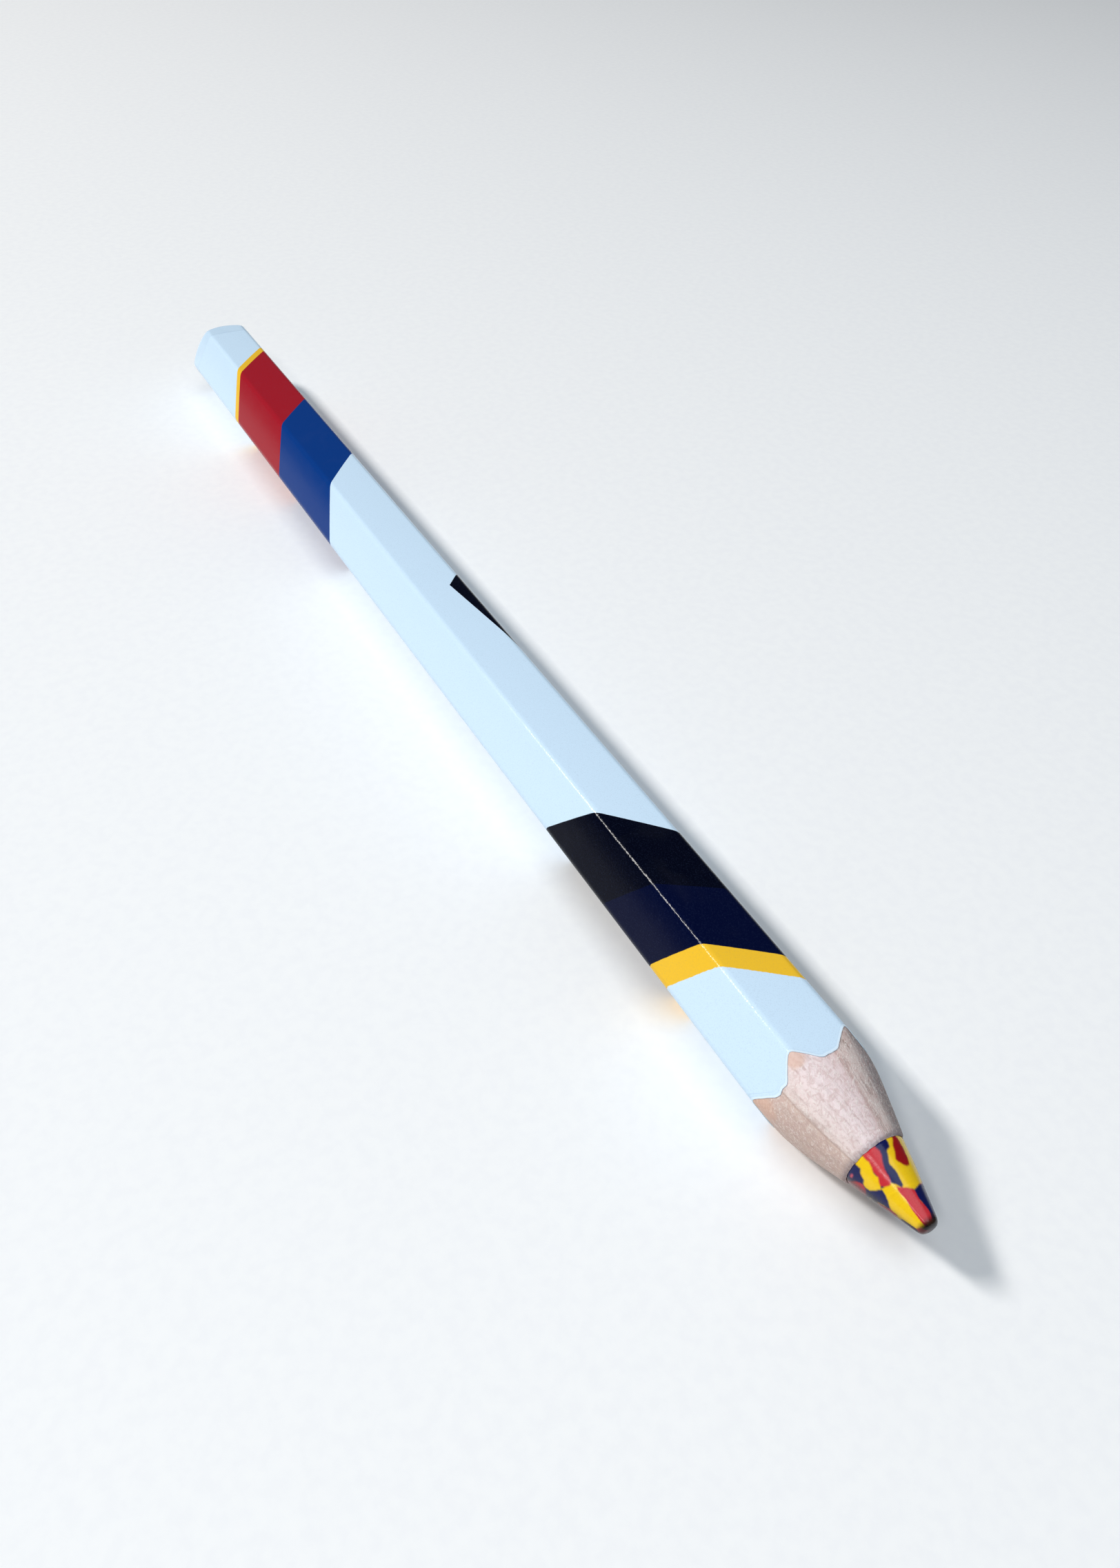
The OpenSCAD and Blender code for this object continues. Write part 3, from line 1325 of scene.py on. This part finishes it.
PATCHES = (
    Patch(Pigment.ROSE, (
        (9.22, -89), (9.32, -92), (9.42, -89), (9.44, -84), (9.34, -81), (9.23, -84),
    )),
    Patch(Pigment.DEEP_RED, (
        (8.4, 22), (9.23, 17), (9.68, 11), (10.23, 5), (10.57, 0), (10.73, 1.6), (11.07, 9.3),
        (11.29, 17.8), (11.26, 26), (10.73, 32), (9.96, 34), (9.23, 31), (8.4, 28),
    )),
    Patch(Pigment.NAVY, (
        (8.4, -106), (9.23, -103), (9.68, -92.7), (10.07, -84), (10.29, -79), (10.23, -74),
        (9.73, -69), (9.51, -61), (9.18, -60.4), (8.4, -60),
    )),
    Patch(Pigment.RED, (
        (8.4, -138), (10.6, -138), (10.75, -115), (10.78, -104), (10.62, -89), (10.35, -84),
        (10.07, -85), (9.68, -94), (9.25, -104), (8.4, -107),
    )),
    Patch(Pigment.YELLOW, (
        (10.29, -80.8), (10.62, -86), (10.96, -83), (11.29, -74), (11.51, -63.8), (11.4, -59.5),
        (11.18, -57), (10.84, -50), (10.34, -48.5), (10.07, -46), (9.51, -43.4), (8.4, -44),
        (8.4, -60), (9.51, -60.6), (9.73, -68.5), (10.23, -73.5),
    )),
    Patch(Pigment.RED, (
        (8.4, -44), (9.51, -43.4), (10.07, -46), (10.84, -50), (11.12, -57), (11.34, -59.5),
        (11.62, -52), (11.79, -41.7), (11.68, -37.5), (11.29, -33), (10.73, -30), (10.23, -25.5),
        (9.84, -19.6), (9.51, -18), (8.4, -20),
    )),
    Patch(Pigment.NAVY, (
        (8.4, -20), (9.51, -18), (9.84, -19.6), (10.23, -25.5), (10.73, -30), (11.29, -33),
        (11.68, -37.5), (11.96, -30), (12.4, -24.7), (12.29, -18.8), (11.96, -16), (11.51, -14.5),
        (11.07, -14.5), (10.62, -15.4), (10.18, -10), (9.73, -6), (9.59, 4), (9.18, 6), (8.4, 5),
    )),
    Patch(Pigment.YELLOW, (
        (8.4, 5), (9.18, 6), (9.59, 4), (9.73, -6), (10.18, -10), (10.62, -15.4), (11.07, -14.5),
        (11.96, -16), (12.4, -24.7), (12.75, -10), (12.93, 1), (12.84, 16), (12.68, 28),
        (12.6, 45), (12.4, 72), (8.4, 72),
    )),
    Patch(Pigment.NAVY, (
        (10.8, -108), (11.5, -104), (12.2, -97), (12.75, -92), (12.4, -74), (11.96, -65.5),
        (11.6, -61.5), (11.4, -70.6), (11.18, -79), (10.96, -84), (10.62, -88), (10.78, -100),
    )),
    Patch(Pigment.UMBER, (
        (11.07, -138), (11.51, -138), (11.84, -108), (11.73, -99.5), (11.51, -99.5), (11.18, -111),
    )),
    Patch(Pigment.RED, (
        (11.5, -138), (13.59, -138), (13.71, -108), (13.27, -93), (12.8, -91), (12.6, -95),
        (12.2, -99), (11.7, -104),
    )),
    Patch(Pigment.DUSK, (
        (13.59, -138), (15.24, -138), (15.18, -100), (15.01, -92), (14.42, -94), (13.83, -96),
    )),
    Patch(Pigment.YELLOW, (
        (11.55, -60), (11.96, -65.5), (12.4, -74), (12.79, -90), (13.21, -93.5), (14.13, -94),
        (14.98, -92), (15.19, -69), (15.22, -50), (14.39, -46), (13.73, -41), (13.21, -36.6),
        (12.5, -36.6), (12.2, -34), (11.96, -30), (11.72, -37), (11.79, -42), (11.62, -52),
    )),
    Patch(Pigment.RED, (
        (12.1, -32), (12.5, -36.6), (13.21, -36.6), (13.73, -41), (14.39, -46), (15.19, -50),
        (15.19, -23), (15.17, 4), (14.89, 6), (14.65, 9), (14.13, 1), (13.67, -2.6), (13, 0),
        (12.8, -8), (12.4, -24.7),
    )),
    Patch(Pigment.NAVY, (
        (12.93, 1), (13.47, -3.5), (13.83, -1), (14.39, 6), (14.77, 11), (14.89, 28), (14.77, 60),
        (12.6, 60), (12.7, 28), (12.84, 16),
    )),
    Patch(Pigment.DUSK, (
        (14.65, 9), (14.89, 6), (15.19, 4), (15.19, 70), (14.77, 70), (14.83, 28),
    )),
    Patch(Pigment.UMBER, (
        (15.24, -40), (15.5, -40), (15.5, 22), (15.24, 22),
    )),
    Patch(Pigment.DEEP_RED, (
        (15.24, -115), (15.71, -115), (15.71, -70), (15.24, -70),
    )),
)


@dataclass
class CorePiece:
    """The coloured core: a rod, a scraped cone with a slight ridge, and a blunt tip darkened with
    painted shade.
    """

    outline: Outline
    loft: Loft
    columns: int = 300
    soft_steps: int = 2
    # Strength of the painted shade on the core's sides and tip.
    painted_shade: float = 0.76
    seat_depth: float = 0.6
    facet_depth: float = 0.028
    ring_depth: float = 0.008
    ridge_height: float = 0.018
    ridge_place: float = 12.45
    tip_shade: float = 0.34
    end_rings: int = 8
    cone_rings: int = 120
    hidden_turns: tuple[float, ...] = (72, 108, 150, 186, 222)
    hidden_cuts: tuple[float, ...] = (8.4, 10.1, 11.4, 12.6, 13.7, 14.86)
    hidden_order: tuple[Pigment, ...] = (
        Pigment.YELLOW, Pigment.RED, Pigment.NAVY, Pigment.DEEP_RED,
        Pigment.YELLOW, Pigment.NAVY, Pigment.RED,
    )
    nose: tuple[Point, ...] = (
        (0.42, 0.92), (0.32, 0.87), (0.23, 0.81), (0.15, 0.73), (0.09, 0.64), (0.045, 0.52),
        (0.018, 0.38), (0.005, 0.2), (0.0, 0.0),
    )
    sides: tuple[Point, ...] = (
        (8.4, 2.96), (9.0, 2.79), (11.0, 2.23), (12.45, 1.775), (13.8, 1.36), (15.18, 0.92),
    )

    def build(self, material: Material) -> Piece:
        """Builds and paints the core in its finish, and returns the piece."""
        outline = self.outline
        seat = outline.core_face - self.seat_depth
        bed = outline.bed_radius
        sweep = math.asin(outline.core_radius / bed)
        turns = [sweep * step / self.end_rings for step in range(self.end_rings + 1)]
        rod = [(outline.dome_middle - bed * math.cos(turn), bed * math.sin(turn)) for turn in turns]
        rod += [(along, outline.core_radius) for along in (1.0, outline.core_face - 2.0, seat)]
        shoulder = outline.tip - self.nose[0][0]

        def form(number: int, azimuth: float) -> Point:
            """Gives the place and radius of a ring at an azimuth."""
            if number < len(rod):
                return rod[number]
            number -= len(rod)
            if number < self.cone_rings:
                along = seat + (shoulder - seat) * number / self.cone_rings
                return along, self._cone(along, azimuth)
            back, radius = self.nose[number - self.cone_rings]
            return outline.tip - back, radius * (1 + 0.05 * rough_round(azimuth, 1.5, 0.0, 17.0))

        bm = bmesh.new()
        bmesh.ops.create_circle(bm, cap_ends=False, segments=self.columns, radius=MM)
        stand = Matrix.Rotation(math.pi / 2, 3, "Y")
        bmesh.ops.rotate(bm, cent=(0, 0, 0), matrix=stand, verts=list(bm.verts))
        self.loft.draw(bm, list(bm.edges), len(rod) + self.cone_rings + len(self.nose))
        self.loft.shape(bm, form)
        self._paint(bm)
        return finish_piece(bm, "marbled_core", material, ["core"], crease=45)

    def _cone(self, along: float, azimuth: float) -> float:
        """Gives the bare core's radius, with its slight ridge."""
        outline = self.outline
        ridge = self.ridge_place + 0.35 * math.sin(math.radians(azimuth) + 0.5)
        radius = min(chain(along, self.sides), outline.core_radius - 0.04)
        facet = self.facet_depth * rough_round(azimuth, 2.1, 0.5 * along, 19.0)
        ring = self.ring_depth * rough_round(azimuth, 0.8, 4.0 * along, 23.0)
        shown = ease(along, outline.core_face, outline.core_face + 0.4)
        return radius + (facet + ring) * shown + self.ridge_height * bell(along, ridge, 0.09)

    def _paint(self, bm: Shape) -> None:
        """Paints the pigments on the mesh's vertices, darkens them with painted shade on the sides
        and toward the tip, and softens their edges.
        """
        layer = bm.verts.layers.float_color.new(PIGMENT)
        for vert in bm.verts:
            along = (vert.co.x - self.loft.start_x) * TO_MM
            height = (vert.co.z - self.loft.axis_z) * TO_MM
            across = vert.co.y * TO_MM
            azimuth = math.degrees(math.atan2(across, height))
            shift = 0.05 * rough(1.3 * along, 1.3 * across, 1.3 * height, 29.0)
            slide = 2.6 * rough(1.2 * along, 1.2 * across, 1.2 * height, 31.0)
            colour = Vector(self._pigment(along + shift, azimuth + slide).value)
            # Painted shade: darker on the lower side, which is turned down, on the +Y side, which
            # is turned from the light, and toward the tip.
            sides = max(ease(azimuth, -78, -106), ease(azimuth, 52, 76))
            painted_shade = self.painted_shade * max(sides, ease(along, 14.8, 15.25))
            vert[layer] = colour.lerp(Vector(Pigment.SHADE_DARK.value), painted_shade)
        for _ in range(self.soft_steps):
            blurred = {}
            for vert in bm.verts:
                beside = [edge.other_vert(vert)[layer] for edge in vert.link_edges]
                total = vert[layer] + sum(beside, Vector((0, 0, 0, 0)))
                blurred[vert] = total / (len(beside) + 1)
            for vert, colour in blurred.items():
                vert[layer] = colour

    def _pigment(self, along: float, azimuth: float) -> Pigment:
        """Finds the pigment at a place and azimuth."""
        for patch in PATCHES:
            if any(patch.holds(along, azimuth + whole) for whole in (0, 360, -360)):
                return patch.pigment
        # The last stretch before the tip is painted dark, as painted shade.
        if along > self.outline.tip - self.tip_shade:
            return Pigment.SHADE_DARK
        around = azimuth % 360
        column = sum(around > turn for turn in self.hidden_turns)
        row = sum(along > cut + 0.3 * math.sin(around / 23) for cut in self.hidden_cuts)
        return self.hidden_order[(3 * column + 2 * row) % len(self.hidden_order)]


# ---- Studio ----


@dataclass(frozen=True)
class SoftLight:
    """An area light that looks at the pencil.

    Attributes:
        name: The light's name.
        place: Where it stands, in metres.
        target: What it looks at, in metres.
        width: Its width across the view.
        length: Its length along the pencil.
        power: Its power, in watts.
        colour: Its colour.
    """

    name: str
    place: tuple[float, float, float]
    target: tuple[float, float, float]
    width: float
    length: float
    power: float
    colour: tuple[float, float, float] = (1.0, 1.0, 1.0)

    def hang(self) -> None:
        """Hangs the light, its length along X."""
        lamp = bpy.data.lights.new(self.name, "AREA")
        lamp.shape = "RECTANGLE"
        lamp.size = self.length
        lamp.size_y = self.width
        lamp.energy = self.power
        lamp.color = self.colour
        body = bpy.data.objects.new(self.name, lamp)
        back = (Vector(self.place) - Vector(self.target)).normalized()
        side = (Vector((1, 0, 0)) - back * back.x).normalized()
        turn = Matrix((side, back.cross(side), back)).transposed().to_4x4()
        body.matrix_world = Matrix.Translation(self.place) @ turn
        bpy.context.scene.collection.objects.link(body)


@dataclass
class Studio:
    """The floor, the lights and the camera.

    Attributes:
        start: Point on the axis at the wood's peaks, in metres.
        eye: Camera's place from there, in millimetres.
        right: Camera's right.
        down: Camera's down.
        ahead: Camera's way of looking.
    """

    start: Vector
    eye: Vector = field(default_factory=lambda: Vector((40.604, -50.078, 87.606)))
    right: Vector = field(default_factory=lambda: Vector((0.48546, 0.87338, 0.03908)))
    down: Vector = field(default_factory=lambda: Vector((0.60864, -0.30554, -0.73226)))
    ahead: Vector = field(default_factory=lambda: Vector((-0.62760, 0.37927, -0.67990)))
    lens: float = 28.62
    sensor: float = 36.0
    floor_size: float = 0.55
    floor_drop: float = 0.005
    lights: tuple[SoftLight, ...] = (
        SoftLight(
            "key", (-0.70, -0.7245, 0.927), (0.045, 0.0, 0.01), 0.14, 0.37, 13.1, (1.0, 0.98, 0.95)
        ),
        SoftLight(
            "overhead", (0.22, -0.02, 0.7), (0.06, 0.0, 0.0), 0.5, 0.6, 2.05, (0.86, 0.94, 1.0)
        ),
        SoftLight("point_strip", (0.208, -0.223, 0.307), (0.083, 0.0, 0.005), 0.022, 0.1, 0.25),
    )
    sky: Colour = (0.70, 0.84, 1.0, 1.0)
    sky_strength: float = 0.112
    backdrop: Colour = paint(232, 235, 239)

    def build(self) -> None:
        """Sets the whole studio up."""
        self._floor()
        for light in self.lights:
            light.hang()
        self._sky()
        self._camera()
        bpy.context.scene.view_settings.view_transform = "Standard"

    def _floor(self) -> None:
        """Lays the floor just under the pencil."""
        bm = bmesh.new()
        bmesh.ops.create_grid(bm, x_segments=1, y_segments=1, size=self.floor_size)
        bmesh.ops.translate(bm, vec=(0, 0, -self.floor_drop * MM), verts=list(bm.verts))
        mesh = bpy.data.meshes.new("floor")
        bm.to_mesh(mesh)
        bm.free()
        mesh.materials.append(PalePaper().make())
        floor = bpy.data.objects.new("floor", mesh)
        bpy.context.scene.collection.objects.link(floor)

    def _sky(self) -> None:
        """Sets the even light from all round."""
        world = bpy.data.worlds.new("soft_room")
        world.use_nodes = True
        sketch = Sketch(world.node_tree)
        background = world.node_tree.nodes["Background"]
        seen = sketch.add("LightPath").outputs["Is Camera Ray"]
        sketch.feed(background.inputs["Color"], sketch.mix(seen, self.sky, self.backdrop))
        strength = sketch.span(seen, 0.0, 1.0, self.sky_strength, 1.0)
        sketch.feed(background.inputs["Strength"], strength)
        bpy.context.scene.world = world

    def _camera(self) -> None:
        """Stands the camera where it looks down at the pencil from beside its point."""
        lens = bpy.data.cameras.new("camera")
        lens.lens = self.lens
        lens.sensor_width = self.sensor
        lens.clip_start = MM
        camera = bpy.data.objects.new("camera", lens)
        turn = Matrix((self.right, -self.down, -self.ahead)).transposed().to_4x4()
        camera.matrix_world = Matrix.Translation(self.start + self.eye * MM) @ turn
        bpy.context.scene.collection.objects.link(camera)
        bpy.context.scene.camera = camera


# ---- Assembly ----


@dataclass
class Pencil:
    """The whole pencil, put together on its CAD frame."""

    cone_length: float = 15.6
    edge_round: float = 0.8
    pieces: list[Piece] = field(default_factory=list)

    def __post_init__(self) -> None:
        """Takes the pencil's place and size from the frame."""
        low, high = (Vector(corner) for corner in CAD_BOX)
        self.start = Vector((high.x - self.cone_length * MM, 0.0, (low.z + high.z) / 2))
        self.outline = Outline(
            section=HexSection((high.z - low.z) / 2 * TO_MM, self.edge_round),
            tip=self.cone_length,
            end=self.cone_length - (high.x - low.x) * TO_MM,
        )
        self.loft = Loft(axis_z=self.start.z, start_x=self.start.x)

    def build(self) -> None:
        """Builds every piece in order."""
        effects = SharedEffects()
        corner_radius = self.outline.section.corner_radius
        film = PrintedFilm(effects, self.start, corner_radius).make()
        dip = DippedLacquer(effects, self.start).make()
        upper = SharpenedWood("upper_wood", effects, self.start, UPPER_TONES).make()
        lower = SharpenedWood("lower_wood", effects, self.start, LOWER_TONES).make()
        core = MarbledPigment(effects, self.start).make()
        self.pieces.append(FilmPiece(self.outline, self.loft).build(film))
        self.pieces.append(DipPiece(self.outline, self.loft).build(dip))
        self.pieces += WoodPieces(self.outline, self.loft).build(upper, lower)
        self.pieces.append(CorePiece(self.outline, self.loft).build(core))


def main() -> None:
    """Builds the pencil and its studio."""
    pencil = Pencil()
    pencil.build()
    Studio(pencil.start).build()
    log.info("%d pieces built", len(pencil.pieces))


if __name__ == "__main__":
    main()
